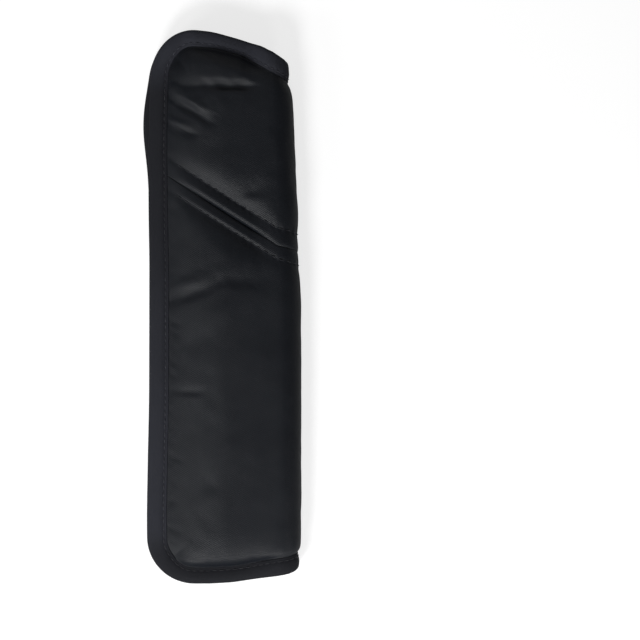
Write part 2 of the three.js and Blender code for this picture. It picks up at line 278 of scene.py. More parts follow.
def side_rise(places):
    return crown_rise(places.side_inset, SIDE_CROWN_START, SIDE_CROWN_WIDTH, 0.0)


def end_rise(places):
    at_top = places.y > 0
    width = np.where(at_top, TOP_CROWN_WIDTH, BOTTOM_CROWN_WIDTH)
    puff = np.where(at_top, TOP_PUFF, BOTTOM_PUFF)
    delay = np.where(at_top, TOP_CROWN_DELAY, BOTTOM_CROWN_DELAY) * smoothstep(places.from_edge, *NEAR_FOLD)
    return crown_rise(places.end_inset, END_CROWN_START + delay, width, puff)


def end_line(from_edge):
    """Where an end is read off its line, rounded over the middle of the fold."""
    return HALF_PANEL - np.hypot(HALF_PANEL - from_edge, FOLD_ROUNDING)


def place_along(across, y):
    from_edge = HALF_PANEL - np.abs(across)
    on_line = end_line(from_edge)
    end_inset = np.minimum(top_end(on_line) - y, y - bottom_end(on_line))
    return Places(across, from_edge, y, from_edge, end_inset, curve(SIDE_SAG, from_edge))


def place_near_end(across, is_top, inset, ring, turn, rounded):
    """Places near an end. Within a corner the rings turn as arcs, by `turn` from 0 to 1."""
    reach = CORNER_RADIUS - ring
    plain_edge = HALF_PANEL - np.abs(across)
    by_the_side = turn < 0.5
    near_end_side_inset = CORNER_RADIUS - (2 - 2 * turn) * reach
    side_inset = np.where(rounded, np.where(by_the_side, ring, near_end_side_inset), plain_edge)
    end_inset = np.where(rounded & by_the_side, CORNER_RADIUS - 2 * turn * reach, inset)
    from_edge = np.where(rounded, CORNER_RADIUS - reach * np.cos(turn * math.pi / 2), plain_edge)
    from_end = np.where(rounded, CORNER_RADIUS - reach * np.sin(turn * math.pi / 2), inset)
    on_line = end_line(from_edge)
    y = top_end(on_line) - from_end if is_top else bottom_end(on_line) + from_end
    side_drop = curve(SIDE_SAG, np.where(rounded, ring, plain_edge))
    end_drop = curve(END_SAG, np.where(rounded, ring, inset))
    corner_sag = mix(side_drop, end_drop, smoothstep(turn, 0, 1))
    sag = np.where(rounded, corner_sag, np.maximum(side_drop, end_drop))
    side = np.sign(across)
    new_across = np.where(rounded, side * (HALF_PANEL - from_edge), across)
    return Places(new_across, from_edge, y, side_inset, end_inset, sag)


def end_places(across, insets, is_top):
    from_edge = HALF_PANEL - np.abs(across)[:, None]
    inset = np.asarray(insets, float)[None, :]
    ring = np.minimum(from_edge, inset)
    rounded = (from_edge < CORNER_RADIUS) & (inset < CORNER_RADIUS)
    reach = CORNER_RADIUS - np.minimum(ring, CORNER_RADIUS - 0.1)
    share = (CORNER_RADIUS - np.maximum(from_edge, inset)) / reach / 2
    turn = np.where(from_edge <= inset, share, 1 - share)
    return place_near_end(across[:, None], is_top, inset, ring, np.where(rounded, turn, 0), rounded)


def seam_places(across, offsets):
    across = across[:, None]
    y = SEAM_AT_FOLD + SEAM_SLOPE * across + np.asarray(offsets, float)[None, :] / SEAM_COSINE
    return place_along(across, y)


def blend_places(across, low, high, count):
    """Evenly stepped rows between the last row of `low` and the first of `high`."""
    share = np.arange(1, count)[None, :] / count
    y = mix(low.y[:, -1:], high.y[:, :1], share)
    return place_along(across[:, None], y)


def joined(*groups):
    return Places(*[np.concatenate([getattr(g, key) for g in groups], axis=1) for key in Places.KEYS])


class Lumps:
    """Smooth irregular unevenness, a sum of waves in seeded directions."""

    def __init__(self, seed, shortest, longest, count=14):
        draw = np.random.default_rng(seed)
        self.angles = draw.uniform(0, math.pi, count)
        self.lengths = draw.uniform(shortest, longest, count)
        self.phases = draw.uniform(0, 2 * math.pi, count)

    def at(self, x, y):
        total = np.zeros(np.broadcast_shapes(np.shape(x), np.shape(y)))
        for angle, length, phase in zip(self.angles, self.lengths, self.phases):
            along = x * math.cos(angle) + y * math.sin(angle)
            total = total + np.sin(2 * math.pi * along / length + phase)
        return total / math.sqrt(len(self.angles))


SLOW_LUMPS = Lumps(3, 24, 60)
QUICK_LUMPS = Lumps(11, 7, 16)
EDGE_PUCKERS = Lumps(23, 4, 9)

# Drawn-in valleys of the front flap: start, end, depth, and the widths of their upper and lower slopes
VALLEYS = (
    ((-18, 111.3), (19, 111), 1.0, 2.8, 1.8),
    ((-7, 111.1), (20, 110.8), 1.35, 2.6, 1.8),
    ((-35, 111.1), (-6, 92.7), 1.5, 2.4, 1.6),
    ((-33, 94), (-14, 86.6), 1.2, 2.0, 1.3),
    ((8, 56.5), (29, 59.5), 1.0, 4.5, 1.8),
    ((12, 117), (24, 113), 0.6, 2.5, 1.5),
    ((-36, 0), (-6, 9), 0.9, 3.0, 2.2),
    ((-8, 12), (33, 13.4), 0.6, 6.0, 3.0),
    ((-25, -43.4), (-10, -43.4), 0.7, 2.4, 1.2),
    ((-28, -7.2), (-22, -9.4), 0.7, 1.8, 0.9),
    ((-28, -11.3), (-23, -14), 0.6, 1.6, 0.9),
    ((-28, -26.5), (-23, -29.4), 0.6, 1.8, 0.9),
    ((-28, -32.5), (-24, -35.4), 0.5, 1.6, 0.9),
    ((-28, -75.1), (-21, -77.9), 0.7, 1.8, 1.0),
    ((-28, -97.4), (-23, -99.9), 0.6, 1.8, 0.9),
    ((-28, -111), (-22.5, -114), 0.9, 1.8, 1.1),
    ((-27, -117), (-22.5, -120.5), 0.7, 1.6, 1.1),
    ((-6.9, -133), (-6.2, -128.6), 0.6, 1.1, 0.9),
    ((0.7, -133), (1.6, -128), 0.6, 1.1, 0.9),
    ((14.3, -131.5), (15, -127), 0.5, 1.1, 0.9),
    ((23.8, -130.5), (24.6, -126), 0.5, 1.1, 0.9),
)

# Folds raised on the front flap where it leaves the binding: start, end, height, and widths as above
FOLDS = (
    ((-30, 111.8), (-6, 98.6), 1.1, 3.6, 2.2),
    ((-30, 96.2), (-17, 90.0), 0.75, 2.6, 1.6),
    ((-29, 8.4), (-6, 14.8), 0.5, 4.0, 2.4),
)


def creases(lines, x, y):
    """Depth or height of a set of creases, each with a ragged upper side and a sharper lower one."""
    total = np.zeros_like(x)
    ragged = 1 + CREASE_RAGGEDNESS * EDGE_PUCKERS.at(x, y)
    uneven = 1 + CREASE_UNEVENNESS * QUICK_LUMPS.at(x, y)
    for (x0, y0), (x1, y1), most, upper_width, lower_width in lines:
        run = math.hypot(x1 - x0, y1 - y0)
        across, along = (x1 - x0) / run, (y1 - y0) / run
        share = np.clip(((x - x0) * across + (y - y0) * along) / run, 0, 1)
        gap = np.hypot(x - x0 - share * (x1 - x0), y - y0 - share * (y1 - y0))
        above = (y - y0) * across - (x - x0) * along > 0
        width = np.where(above, upper_width * ragged, lower_width)
        taper = np.sin(math.pi * mix(*CREASE_TAPER, share))
        total += most * uneven * taper * np.exp(-((gap / width) ** 2))
    return total


def gathers(places):
    """Extra depth where the stitches of the seam band pull the cloth in between their scallops."""
    above = places.above_seam()
    along = places.flat_across() / SEAM_COSINE
    pull = 0.5 + 0.5 * np.cos(2 * math.pi * along / STITCH_PITCH)
    pull = pull + PULL_UNEVENNESS * EDGE_PUCKERS.at(along, 0)
    depth = np.zeros_like(above)
    for line, deepest in ((UPPER_STITCHES, UPPER_PULL), (LOWER_STITCHES, LOWER_PULL)):
        depth += deepest * pull * np.exp(-(((above - line) / PULL_WIDTH) ** 2))
    return depth


def crown_height(places, side_share, share):
    """Offset of a padded face that has risen by a share of its full height."""
    even_gap = mix(CLOSED_HALF_GAP, FOLD_RADIUS, side_share)
    step = (half_gap(places.side_inset) - even_gap) * share / np.maximum(side_share, 0.01)
    past_middle = np.clip((places.from_edge - FLAP_WIDTH / 2) / (FLAP_WIDTH / 2), 0, 1)
    full = mix(FULL_HEIGHT, FOLD_HEIGHT, past_middle ** 2)
    return mix(places.rim(), full, share) - step


def seam_share(places, share):
    """How much of the seam's depth shows, less where the padding is low and round the fold."""
    return np.sqrt(share) * share * mix(1, FOLD_SEAM_SHARE, places.foldwards)


def padding_height(places):
    """Offset of the padding's outer face, as in the solids."""
    form = (PADDING_PUFF_LENGTH, PADDING_CROWN_POWER)
    side_share = crown_rise(
        places.side_inset, PADDING_CROWN_START, PADDING_SIDE_WIDTH, PADDING_SIDE_PUFF, *form)
    share = side_share * crown_rise(
        places.end_inset, PADDING_CROWN_START, PADDING_END_WIDTH, PADDING_END_PUFF, *form)
    trough = 1 - smoothstep(np.abs(places.above_seam()), *PADDING_TROUGH_REACH)
    pressed = PADDING_LOFT * share + PADDING_TROUGH * trough * seam_share(places, share)
    return crown_height(places, side_share, share) - COVER_THICKNESS - LAYER_GAP - pressed


def cover_height(places):
    """Offset of the cover's outer face: seam band and valleys pressed in, and folds raised."""
    side_share = side_rise(places)
    share = side_share * end_rise(places)
    height = crown_height(places, side_share, share)
    height = height - curve(SEAM_BAND, places.above_seam()) * seam_share(places, share)
    flat = places.points(0)
    u, v = places.flat_across(), places.y
    inset = np.minimum(places.side_inset, places.end_inset)
    valleys = creases(VALLEYS, flat[..., 0], flat[..., 1]) * share ** VALLEY_POWER
    on_flap = np.where(places.front & ~places.in_fold, 1 - places.foldwards, 0)
    height = height - valleys * on_flap
    beside_binding = smoothstep(inset, *DENT_START) * (1 - smoothstep(inset, *DENT_END))
    height = height - BINDING_DENT * (1 + EDGE_PUCKERS.at(u, v)) * beside_binding
    height = height - gathers(places) * share
    unevenness = SLOW_UNEVENNESS * SLOW_LUMPS.at(u, v) + QUICK_UNEVENNESS * QUICK_LUMPS.at(u, v)
    height = height + unevenness * share
    # The cover stays above the padding, and outside the padding's edge above the rim
    bare = 1 - smoothstep(inset, PADDING_INSET - 1.5, PADDING_INSET - 0.3)
    above_padding = padding_height(places) + COVER_CLEARANCE - BARE_DROP * bare
    lowest = np.maximum(above_padding, places.rim() - RIM_DROP)
    height = lowest + ramp(height - lowest, 0, LIMIT_EASE)
    raised = creases(FOLDS, flat[..., 0], flat[..., 1]) * smoothstep(inset, *FOLDS_START)
    height = height + raised * on_flap
    # The back flap is pressed flat where it rests on the floor
    resting = ~places.front & ~places.in_fold
    room = flat[..., 2] - FLOOR_GAP - height
    return height + np.where(resting, (room - np.hypot(room, LIMIT_EASE)) / 2, 0)


def make_mesh(name, vertices, faces, uvs=None):
    mesh = bpy.data.meshes.new(name)
    faces = faces if isinstance(faces, list) else faces.tolist()
    mesh.from_pydata(np.asarray(vertices).tolist(), [], faces)
    if uvs is not None:
        layer = mesh.uv_layers.new(name="flat_cloth")
        corners = np.empty(len(mesh.loops), np.int32)
        mesh.loops.foreach_get("vertex_index", corners)
        layer.data.foreach_set("uv", np.asarray(uvs)[corners].ravel())
    mesh.polygons.foreach_set("use_smooth", np.ones(len(mesh.polygons), bool))
    mesh.validate()
    piece = bpy.data.objects.new(name, mesh)
    bpy.context.scene.collection.objects.link(piece)
    return piece


def grid_faces(columns, rows, first=0, flip=False):
    i, j = np.meshgrid(np.arange(columns - 1), np.arange(rows - 1), indexing="ij")
    a = (first + i * rows + j).ravel()
    faces = np.stack([a, a + 1, a + 1 + rows, a + rows], -1)
    return faces[:, ::-1] if flip else faces


def rim_walls(columns, rows):
    """Faces that close two stacked grids round their outline."""
    index = np.arange(columns * rows).reshape(columns, rows)
    rim = np.concatenate([index[:, 0], index[-1, 1:], index[-2::-1, -1], index[0, -2:0:-1]])
    after = np.roll(rim, -1)
    return np.stack([rim, after, after + columns * rows, rim + columns * rows], -1)


def sheet_piece(name, places, outer, inner, moved=0.0):
    """A closed sheet of cloth between an outer and an inner offset over a grid of places."""
    columns, rows = places.y.shape
    count = columns * rows
    faces_out = places.points(outer) + moved
    faces_in = places.points(inner) + moved
    vertices = np.concatenate([faces_out.reshape(-1, 3), faces_in.reshape(-1, 3)]) * MM
    flat = np.stack([places.flat_across().ravel(), places.y.ravel()], -1) * MM
    faces = np.concatenate([
        grid_faces(columns, rows), grid_faces(columns, rows, count, True), rim_walls(columns, rows)])
    return make_mesh(name, vertices, faces, np.concatenate([flat, flat]))


def held_share(places):
    """1 where the cover is sewn down, creased or on the floor, and 0 where it is free."""
    inset = np.minimum(places.side_inset, places.end_inset)
    sewn = 1 - smoothstep(inset, *SEWN_REACH)
    in_band = 1 - smoothstep(np.abs(places.above_seam()), *BAND_REACH)
    flat = places.points(0)
    drawn_in = smoothstep(creases(VALLEYS + FOLDS, flat[..., 0], flat[..., 1]), *CREASE_REACH)
    resting = np.where(~places.front & ~places.in_fold, 1, 0)
    return np.maximum.reduce([sewn, in_band, drawn_in * (1 - resting), resting])


def spread_matrix(count, steps):
    """Weights that spread values at chosen steps over every step between them."""
    everywhere = np.arange(count)
    return np.stack([np.interp(everywhere, steps, one) for one in np.eye(len(steps))], -1)


def settled(places, height):
    """How far each point of a cover moves as its cloth, cut a little full, settles under the padding."""
    columns, rows = places.y.shape
    picked_columns = np.unique(np.append(np.arange(0, columns, SETTLE_STEP), columns - 1))
    picked_rows = np.unique(np.append(np.arange(0, rows, SETTLE_STEP), rows - 1))
    pick = np.ix_(picked_columns, picked_rows)
    outer = places.points(height)[pick]
    base = places.points(SETTLE_BASE)[pick]
    shape = (len(picked_columns), len(picked_rows))
    count = shape[0] * shape[1]
    vertices = np.concatenate([outer.reshape(-1, 3), base.reshape(-1, 3)]) * MM
    faces = np.concatenate([grid_faces(*shape), grid_faces(*shape, count, True), rim_walls(*shape)])
    body = make_mesh("settling_cloth", vertices, faces)
    group = body.vertex_groups.new(name="held")
    for number, weight in enumerate(np.append(held_share(places)[pick].ravel(), np.ones(count))):
        group.add([number], float(weight), "REPLACE")
    cloth = body.modifiers.new("cloth", "CLOTH")
    cloth.settings.quality = 4
    cloth.settings.mass = 0.15
    cloth.settings.tension_stiffness = 12
    cloth.settings.compression_stiffness = 12
    cloth.settings.shear_stiffness = 4
    cloth.settings.bending_stiffness = 0.5
    cloth.settings.shrink_min = -CLOTH_FULLNESS
    cloth.settings.use_pressure = True
    cloth.settings.uniform_pressure_force = 4
    cloth.settings.vertex_group_mass = "held"
    cloth.settings.effector_weights.gravity = 0
    cloth.collision_settings.use_collision = False
    for number in range(1, SETTLE_FRAMES + 1):
        bpy.context.scene.frame_set(number)
    seen = body.evaluated_get(bpy.context.evaluated_depsgraph_get()).to_mesh()
    after = np.empty(len(seen.vertices) * 3)
    seen.vertices.foreach_get("co", after)
    moved = after.reshape(-1, 3)[:count].reshape(*shape, 3) / MM - outer
    bpy.data.objects.remove(body)
    bpy.context.scene.frame_set(1)
    length = np.linalg.norm(moved, axis=-1, keepdims=True)
    moved = moved * np.minimum(1, SETTLE_LIMIT / np.maximum(length, 0.001))
    moved = np.einsum("ac,crk,br->abk", spread_matrix(columns, picked_columns), moved,
                      spread_matrix(rows, picked_rows))
    for _ in range(SMOOTHING_ROUNDS):
        moved[1:-1] = (moved[:-2] + 2 * moved[1:-1] + moved[2:]) / 4
        moved[:, 1:-1] = (moved[:, :-2] + 2 * moved[:, 1:-1] + moved[:, 2:]) / 4
    return moved


def stitch_row(name, points, outwards, pitch, length, thickness):
    """A row of stitches along a line: short threads that dip into the cloth at both ends."""
    steps = np.linalg.norm(np.diff(points, axis=0), axis=1)
    reach = np.concatenate([[0], np.cumsum(steps)])
    starts = np.arange(pitch / 2, reach[-1] - pitch, pitch)
    along = np.linspace(0, 1, THREAD_RINGS)
    turns = np.arange(THREAD_SIDES) * math.pi / 3
    thread = []
    for share in along:
        arch = math.sin(math.pi * share)
        at = starts + share * length
        centre = np.stack([np.interp(at, reach, points[:, k]) for k in range(3)], -1)
        ahead = np.stack([np.interp(at + 0.2, reach, points[:, k]) for k in range(3)], -1) - centre
        up = np.stack([np.interp(at, reach, outwards[:, k]) for k in range(3)], -1)
        up = up / np.linalg.norm(up, axis=1)[:, None]
        side = np.cross(up, ahead)
        side = side / np.linalg.norm(side, axis=1)[:, None]
        swell = thickness * (0.35 + 0.65 * arch) / 2
        rise = thickness * (0.9 * arch - 0.35)
        ring = [centre + up * (rise + swell * math.sin(t)) + side * swell * math.cos(t) for t in turns]
        thread.append(np.stack(ring, 1))
    thread = np.stack(thread, 1)
    count = len(starts)
    index = np.arange(count * THREAD_RINGS * THREAD_SIDES).reshape(count, THREAD_RINGS, THREAD_SIDES)
    turned = np.roll(index, -1, 2)
    walls = np.stack([index[:, :-1], turned[:, :-1], turned[:, 1:], index[:, 1:]], -1)
    faces = walls.reshape(-1, 4).tolist() + index[:, 0, ::-1].tolist() + index[:, -1].tolist()
    down_thread = np.tile(np.repeat(along * length, THREAD_SIDES), count)
    round_thread = np.tile(turns, count * THREAD_RINGS)
    flat = np.stack([down_thread, round_thread], -1) * MM
    return make_mesh(name, thread.reshape(-1, 3) * MM, faces, flat)


def seam_stitches(name, above):
    across = np.linspace(SEAM_STITCH_INSET - HALF_PANEL, HALF_PANEL - SEAM_STITCH_INSET, 500)
    places = place_along(across, SEAM_AT_FOLD + SEAM_SLOPE * across + above / SEAM_COSINE)
    height = cover_height(places)
    foot = places.points(height)
    outwards = places.points(height + 1) - foot
    return stitch_row(name, foot, outwards, STITCH_PITCH, SEAM_STITCH_LENGTH, SEAM_THREAD)


# Insets of the columns and rows beside an edge, finest at the binding's inner edge
EDGE_INSETS = (1, 2.4, 3.8, 5.2, 6.6, 7.8, 8.8, 9.6, 10.4, 11.2, 12)
# Rows of the covers near an end, by inset, and on each side of the seam, by distance from it
RIM_INSETS = np.concatenate([EDGE_INSETS, np.arange(13, 22.1, 1.0)])
SEAM_SIDE = np.array([
    0.07, 0.4, 0.8, 1.3, 1.9, 2.6, 3.4, 4.2, 5.0, 5.6, 6.2, 6.7, 7.1, 7.5, 7.9, 8.4, 9.0, 9.8,
    10.7, 11.7, 12.8, 14, 15.3, 16.7, 18.2, 20, 22, 24,
])


def across_columns(front_step, fold_step, back_step):
    """Positions across the unfolded sheet: finer near its edges, and even steps over flaps and fold."""
    start = EDGE_INSETS[-1]
    front = np.arange(start + front_step, FLAP_WIDTH - front_step / 2, front_step)
    back = np.arange(start + back_step, FLAP_WIDTH - back_step / 2, back_step)
    steps = max(12, int(math.pi * (FOLD_RADIUS + FOLD_HEIGHT) / fold_step))
    fold = np.linspace(-FOLD_HALF_ARC, FOLD_HALF_ARC, steps + 1)
    back_side = -(HALF_PANEL - np.concatenate([EDGE_INSETS, back]))
    front_side = (HALF_PANEL - np.concatenate([EDGE_INSETS, front]))[::-1]
    return np.concatenate([back_side, fold, front_side])


def cover_pieces():
    across = across_columns(1.0, 1.0, 2.2)
    bottom = end_places(across, RIM_INSETS, False)
    top = end_places(across, RIM_INSETS[::-1], True)
    low_seam = seam_places(across, -SEAM_SIDE[::-1])
    high_seam = seam_places(across, SEAM_SIDE)
    lower = joined(bottom, blend_places(across, bottom, low_seam, 120), low_seam)
    upper = joined(high_seam, blend_places(across, high_seam, top, 52), top)
    pieces = []
    for name, places in (("lower_cover_cloth", lower), ("upper_cover_cloth", upper)):
        height = cover_height(places)
        inner = height - COVER_THICKNESS
        pieces.append(sheet_piece(name, places, height, inner, settled(places, height)))
    return pieces


def lining_piece():
    across = across_columns(3.0, 1.2, 3.0)
    insets = np.array([LINING_INSET, 3, 5, 7, 9, 12, 15, 18, 22])
    bottom = end_places(across, insets, False)
    top = end_places(across, insets[::-1], True)
    places = joined(bottom, blend_places(across, bottom, top, 60), top)
    return sheet_piece("lining_cloth", places, LINING_THICKNESS, 0.0)


class Outline:
    """Stations round the outline of the unfolded sheet, and places at insets from it."""

    def __init__(self, end_step, corner_steps, side_step):
        limit = HALF_PANEL - CORNER_RADIUS
        steps = int(2 * limit / end_step)
        ends = np.linspace(limit, -limit, steps + 1)
        corner = np.arange(1, corner_steps) / corner_steps
        side_low = float(bottom_end(0)) + CORNER_RADIUS
        side_high = float(top_end(0)) - CORNER_RADIUS
        side = np.linspace(side_low, side_high, int((side_high - side_low) / side_step))
        zero = np.zeros_like
        one = np.ones_like
        # Each run holds: kind (0 bottom end, 1 top end, 2 side), across, turn, whether in a corner, y
        runs = [
            (0, -ends, zero(ends), 0, zero(ends)),
            (0, limit * one(corner), 1 - corner, 1, zero(corner)),
            (2, limit * one(side), zero(side), 0, side),
            (1, limit * one(corner), corner, 1, zero(corner)),
            (1, ends, zero(ends), 0, zero(ends)),
            (1, -limit * one(corner), 1 - corner, 1, zero(corner)),
            (2, -limit * one(side), zero(side), 0, side[::-1]),
            (0, -limit * one(corner), corner, 1, zero(corner)),
        ]
        self.kind = np.concatenate([np.full(len(r[1]), r[0]) for r in runs])
        self.across = np.concatenate([r[1] for r in runs])
        self.turn = np.concatenate([r[2] for r in runs])
        self.corner = np.concatenate([np.full(len(r[1]), r[3]) for r in runs]).astype(bool)
        self.y = np.concatenate([r[4] for r in runs])
        corner_share = np.where(self.corner, smoothstep(self.turn, 0.3, 1), 1)
        self.end_share = np.where(self.kind == 2, 0, corner_share)

    def at(self, inset):
        """Places at an inset, one number for every station or one for each."""
        inset = np.broadcast_to(np.asarray(inset, float), self.across.shape)
        bottom, top = (
            place_near_end(self.across, is_top, inset, inset, self.turn, self.corner)
            for is_top in (False, True))
        sides = place_along(np.sign(self.across) * (HALF_PANEL - inset), self.y)
        picked = []
        for key in Places.KEYS:
            low, high, side = (getattr(group, key) for group in (bottom, top, sides))
            picked.append(np.where(self.kind == 2, side, np.where(self.kind == 1, high, low)))
        return Places(*picked)


# Number of the point of the tape's section that lies in the middle of its outer face
OUTER_POINT = 7


def binding_piece():
    outline = Outline(1.3, 26, 2.0)
    width = mix(BINDING_SIDE_WIDTH, BINDING_END_WIDTH, outline.end_share)
    near_fold = smoothstep(HALF_PANEL - np.abs(outline.across), *NEAR_FOLD)
    extra = np.where(outline.kind == 1, TOP_BINDING_EXTRA, BOTTOM_BINDING_EXTRA)
    width = width + extra * near_fold * (outline.kind < 2)
    under = BINDING_UNDER_WIDTH
    # Section of the tape: inset, whether on the cover's side, and offset from it or from the lining
    section = (
        (width, 1, 0.2), (width + 0.05, 1, 0.3), (width - 0.35, 1, 0.44), (width - 0.9, 1, 0.52),
        (width - 1.7, 1, 0.46), (width - 2.2, 1, 0.68), (width - 2.8, 1, 0.92), (width - 4.2, 1, 1.14),
        (2.2, 1, 1.12), (0.9, 1, 0.98), (0.0, 1, 0.72), (-0.7, 1, 0.25), (-1.05, 1, -0.4), (-1.1, 0, 0.9),
        (-1.05, 0, 0.0), (-0.6, 0, -0.7), (0.3, 0, -1.05), (1.6, 0, -1.1), (under - 2.6, 0, -1.08),
        (under - 1.3, 0, -0.8), (under - 0.3, 0, -1.0), (under, 0, -0.7), (under, 0, -0.25),
        (0.4, 0, -0.25), (0.0, 0, 0.3), (0.0, 1, -0.2), (0.4, 1, 0.25), (width - 4.5, 1, 0.3),
    )
    rings = []
    for inset, on_cover, offset in section:
        places = outline.at(inset)
        lift = offset + (places.rim() if on_cover else 0)
        rings.append(places.points(lift))
    rings = np.stack(rings, 1)
    stations, count = rings.shape[:2]
    top_line = rings[:, OUTER_POINT]
    lengths = np.concatenate([[0], np.cumsum(np.linalg.norm(np.diff(top_line, axis=0), axis=1))])
    steps = np.linalg.norm(np.diff(rings, axis=1), axis=2).mean(0)
    around = np.concatenate([[0], np.cumsum(steps)])
    flat = np.stack(np.broadcast_arrays(lengths[:, None], around[None, :]), -1).reshape(-1, 2) * MM
    index = np.arange(stations * count).reshape(stations, count)
    ahead = np.roll(index, -1, 0)
    turned = np.roll(index, -1, 1)
    faces = np.stack([index, turned, np.roll(turned, -1, 0), ahead], -1).reshape(-1, 4)
    tape = make_mesh("edge_binding_tape", rings.reshape(-1, 3) * MM, faces, flat)
    groove = outline.at(width - BINDING_STITCH_INSET)
    lift = groove.rim() + BINDING_STITCH_LIFT
    foot = groove.points(lift)
    outwards = groove.points(lift + 1) - foot
    loop = np.append(np.arange(stations), 0)
    stitches = stitch_row("binding_stitches", foot[loop], outwards[loop],
                          BINDING_STITCH_PITCH, BINDING_STITCH_LENGTH, BINDING_THREAD)
    return tape, stitches


class Shader:
    """A material and short ways to add and join its nodes."""

    def __init__(self, name):
        self.material = bpy.data.materials.new(name)
        self.material.use_nodes = True
        self.tree = self.material.node_tree
        self.bsdf = self.tree.nodes["Principled BSDF"]

    def node(self, kind, **inputs):
        made = self.tree.nodes.new(kind)
        for key, value in inputs.items():
            self.put(made.inputs[key.replace("_", " ")], value)
        return made

    def put(self, socket, value):
        if isinstance(value, bpy.types.NodeSocket):
            self.tree.links.new(value, socket)
        else:
            socket.default_value = value

    def maths(self, operation, *values):
        made = self.tree.nodes.new("ShaderNodeMath")
        made.operation = operation
        for socket, value in zip(made.inputs, values):
            self.put(socket, value)
        return made.outputs[0]

    def mixed(self, share, low, high, blend="MIX"):
        made = self.tree.nodes.new("ShaderNodeMix")
        made.data_type = "RGBA"
        made.blend_type = blend
        for number, value in ((0, share), (6, low), (7, high)):
            self.put(made.inputs[number], value)
        return made.outputs[2]


def add_painted_shade(shader, colour, marks):
    """Painted light and shade: the colour made lighter or darker along the pad, by marks of (y in mm,
    brightness).
    """
    place = shader.tree.nodes.new("ShaderNodeTexCoord")
    y = shader.node("ShaderNodeSeparateXYZ", Vector=place.outputs["Object"]).outputs[1]
    share = shader.maths("MULTIPLY_ADD", y, 1 / (PAD_LENGTH * MM), 0.5)
    ramp_node = shader.node("ShaderNodeValToRGB", Fac=share)
    stops = ramp_node.color_ramp
    stops.interpolation = "EASE"
    while len(stops.elements) < len(marks):
        stops.elements.new(0.5)
    for element, (at, brightness) in zip(stops.elements, marks):
        element.position = at / PAD_LENGTH + 0.5
        element.color = (brightness, brightness, brightness, 1)
    return shader.mixed(1.0, colour, ramp_node.outputs[0], "MULTIPLY")


def cloth_material(name, low, high, pitch, slant, relief, roughness, specular, painted_shade_marks=()):
    """Woven cloth: slanted ribs crossed by finer threads, with an uneven dye and gloss.

    `pitch` is the ribs' spacing and `relief` their depth, both in mm. `painted_shade_marks` holds marks of
    (height on the pad in mm, brightness) for painted light and shade, lighter or darker along the pad.
    """
    shader = Shader(name)
    flat = shader.tree.nodes.new("ShaderNodeUVMap")
    flat.uv_map = "flat_cloth"
    split = shader.node("ShaderNodeSeparateXYZ", Vector=flat.outputs[0])
    across, along = split.outputs[0], split.outputs[1]
    turns = 2 * math.pi / (pitch * MM)
    drift = shader.node("ShaderNodeTexNoise", Vector=flat.outputs[0], Scale=160.0, Detail=2.0)
    wobble = shader.maths("MULTIPLY", drift.outputs[0], 3.0)
    ribs = shader.maths("MULTIPLY_ADD", along, turns, wobble)
    ribs = shader.maths("MULTIPLY_ADD", across, turns * slant, ribs)
    rib_wave = shader.maths("SINE", ribs)
    threads = shader.maths("MULTIPLY_ADD", along, -turns * 0.9, wobble)
    threads = shader.maths("MULTIPLY_ADD", across, turns * 1.7, threads)
    thread_wave = shader.maths("SINE", threads)
    weave = shader.maths("MULTIPLY_ADD", thread_wave, 0.6, rib_wave)
    fuzz = shader.node(
        "ShaderNodeTexNoise", Vector=flat.outputs[0], Scale=900.0, Detail=2.0, Roughness=0.7)
    weave = shader.maths("MULTIPLY_ADD", fuzz.outputs[0], 1.6, weave)
    bump = shader.node("ShaderNodeBump", Strength=1.0, Distance=relief * MM, Height=weave)
    patches = shader.node("ShaderNodeTexNoise", Vector=flat.outputs[0], Scale=45.0, Detail=3.0)
    tone = shader.maths("MULTIPLY", patches.outputs[0], 0.5)
    tone = shader.maths("MULTIPLY_ADD", fuzz.outputs[0], 0.6, tone)
    shade = shader.mixed(tone, (*low, 1), (*high, 1))
    # Painted light and shade along the pad, where marks are given
    if painted_shade_marks:
        shade = add_painted_shade(shader, shade, painted_shade_marks)
    shader.put(shader.bsdf.inputs["Base Color"], shade)
    gloss = shader.maths("MULTIPLY_ADD", fuzz.outputs[0], 0.24, roughness - 0.12)
    shader.put(shader.bsdf.inputs["Roughness"], gloss)
    shader.put(shader.bsdf.inputs["Normal"], bump.outputs[0])
    shader.bsdf.inputs["Specular IOR Level"].default_value = specular
    return shader.material


def solid_material(name, low, high, grain, relief, roughness, stretch):
    """Foam cells, or the pile of a closing tape: small cells over a finer fuzz, in two shades."""
    shader = Shader(name)
    place = shader.tree.nodes.new("ShaderNodeTexCoord")
    mapping = shader.node("ShaderNodeMapping", Vector=place.outputs["Object"], Scale=stretch)
    cells = shader.node("ShaderNodeTexVoronoi", Vector=mapping.outputs[0], Scale=grain)
    fuzz = shader.node("ShaderNodeTexNoise", Vector=place.outputs["Object"], Scale=grain * 1.7, Detail=3.0)
    height = shader.maths("MULTIPLY_ADD", fuzz.outputs[0], 0.6, cells.outputs[0])
    bump = shader.node("ShaderNodeBump", Strength=1.0, Distance=relief * MM, Height=height)
    gloss = shader.maths("MULTIPLY_ADD", fuzz.outputs[0], 0.2, roughness - 0.1)
    shader.put(shader.bsdf.inputs["Base Color"], shader.mixed(height, (*low, 1), (*high, 1)))
    shader.put(shader.bsdf.inputs["Roughness"], gloss)
    shader.put(shader.bsdf.inputs["Normal"], bump.outputs[0])
    return shader.material


# The photograph's size and scale in pixels, and where the pad's middle lies in it
PICTURE_SIZE = 640
PIXELS_PER_MM = 1.974
PAD_MIDDLE = (222.3, 306.8)
CAMERA_HEIGHT = 1.8
SHARP_HEIGHT = 0.012
SENSOR_WIDTH = 36


